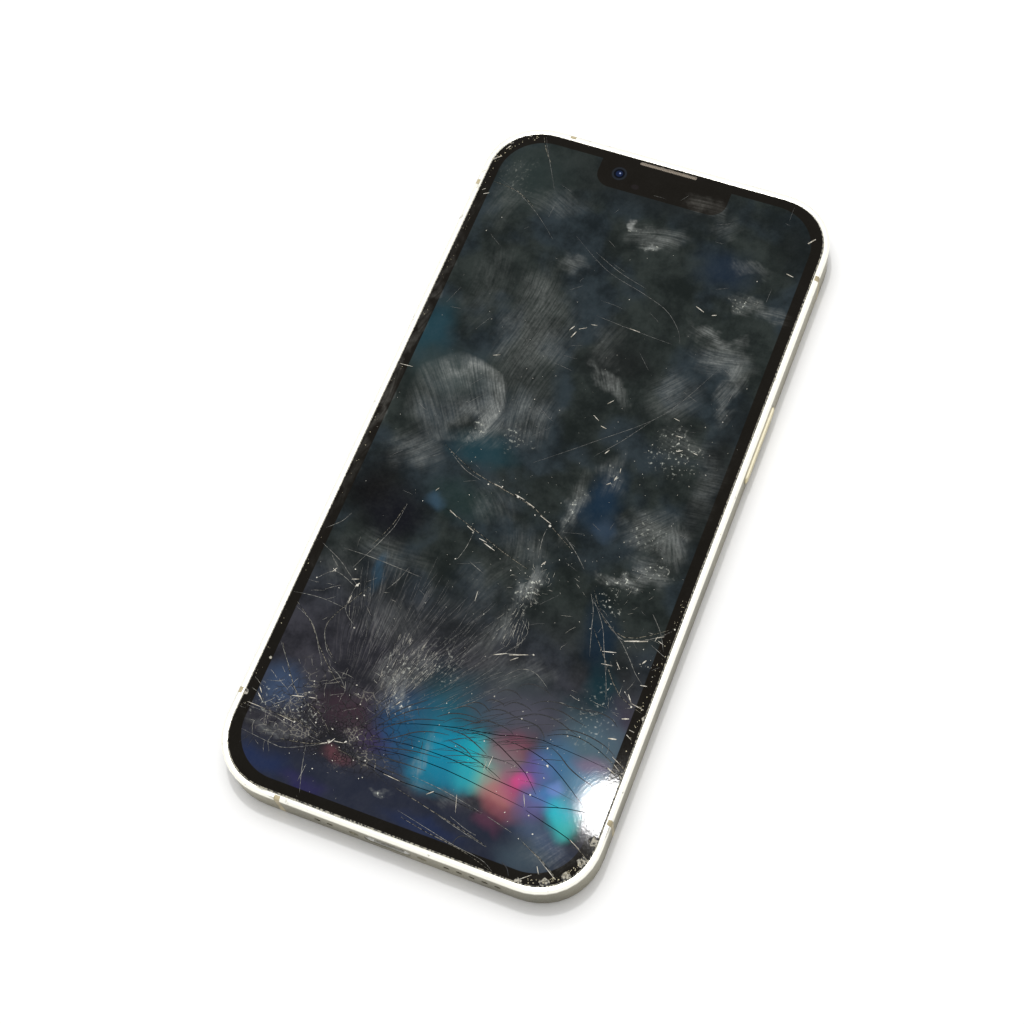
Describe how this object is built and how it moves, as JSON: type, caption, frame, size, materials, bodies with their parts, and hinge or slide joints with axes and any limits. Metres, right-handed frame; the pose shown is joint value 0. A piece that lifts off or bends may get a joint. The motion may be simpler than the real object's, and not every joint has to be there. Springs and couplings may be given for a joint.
{
  "type": "shattered screen phone",
  "caption": "Flat phone with a metal side frame, a cracked cover glass over a notched display, side buttons, a card tray and a bottom charging port.",
  "frame": {"origin": "centre of the flat back face", "axes": "+X to the side with the power button, +Y to the top of the phone, +Z out of the screen"},
  "size_m": [0.0724, 0.1466, 0.0077],
  "materials": {
    "anodised_aluminium": "satin anodised, cream white, worn bright at the edges",
    "cover_glass": "gloss, shattered, with hairline cracks and finger marks",
    "back_glass": "gloss, colour printed on its inner side",
    "lens_glass": "gloss, coated",
    "display": "dark display with a patch of leaking colour",
    "steel": "rolled or turned",
    "black_plastic": "moulded",
    "band_plastic": "moulded, dull cream",
    "pale_plastic": "moulded",
    "adhesive": "black foam adhesive",
    "battery_foil": "laminated pouch",
    "circuit_board": "solder resist",
    "flex_circuit": "polyimide film",
    "copper": "drawn or etched copper"
  },
  "bodies": {
    "case": {"antenna_band_bottom": "band_plastic", "antenna_band_left_lower": "band_plastic", "antenna_band_left_upper": "band_plastic", "antenna_band_right_lower": "band_plastic", "antenna_band_right_upper": "band_plastic", "antenna_band_top": "band_plastic", "back_gasket": "adhesive", "back_glass": "back_glass", "battery": "battery_foil", "battery_adhesive": "pale_plastic", "board_connector": "black_plastic", "board_shield_lower": "steel", "board_shield_upper": "steel", "bottom_screw_left": "steel", "bottom_screw_right": "steel", "bracket_screw_left": "steel", "bracket_screw_right": "steel", "camera_bracket": "steel", "camera_lens_main": "lens_glass", "camera_lens_wide": "lens_glass", "camera_module_main": "black_plastic", "camera_module_wide": "black_plastic", "camera_ring_main": "steel", "camera_ring_wide": "steel", "camera_window": "lens_glass", "card_reader": "steel", "charging_coil": "copper", "chassis_plate": "steel", "connector_cover": "steel", "cover_glass": "cover_glass", "cover_screw_lower": "steel", "cover_screw_upper": "steel", "display_back_plate": "steel", "display_gasket": "adhesive", "display_panel": "display", "ear_mesh": "steel", "ear_speaker": "black_plastic", "face_sensor": "black_plastic", "flash_lens": "pale_plastic", "frame": "anodised_aluminium", "front_camera": "black_plastic", "logic_board": "circuit_board", "loudspeaker": "black_plastic", "magnet_ring": "steel", "microphone": "steel", "mute_switch_body": "black_plastic", "port_contacts": "copper", "port_flex": "flex_circuit", "port_shell": "steel", "power_switch": "steel", "speaker_mesh": "steel", "vibration_motor": "steel", "volume_down_switch": "steel", "volume_up_switch": "steel"},
    "power_button": {"power_button": "anodised_aluminium"},
    "volume_up_button": {"volume_up_button": "anodised_aluminium"},
    "volume_down_button": {"volume_down_button": "anodised_aluminium"},
    "mute_slider": {"mute_slider": "anodised_aluminium"},
    "card_tray": {"card_tray": "anodised_aluminium", "phone_card": "pale_plastic"}
  },
  "joints": [
    {"name": "power_button_press", "type": "slide", "parent": "case", "child": "power_button", "axis": [-1, 0, 0], "range_m": [0, 0.0003], "stiffness_N_per_m": 500},
    {"name": "volume_up_press", "type": "slide", "parent": "case", "child": "volume_up_button", "axis": [1, 0, 0], "range_m": [0, 0.0003], "stiffness_N_per_m": 500},
    {"name": "volume_down_press", "type": "slide", "parent": "case", "child": "volume_down_button", "axis": [1, 0, 0], "range_m": [0, 0.0003], "stiffness_N_per_m": 500},
    {"name": "mute_switch_slide", "type": "slide", "parent": "case", "child": "mute_slider", "axis": [0, 0, -1], "range_m": [0, 0.001]},
    {"name": "card_tray_slide", "type": "slide", "parent": "case", "child": "card_tray", "axis": [-1, 0, 0], "range_m": [0, 0.02]}
  ]
}
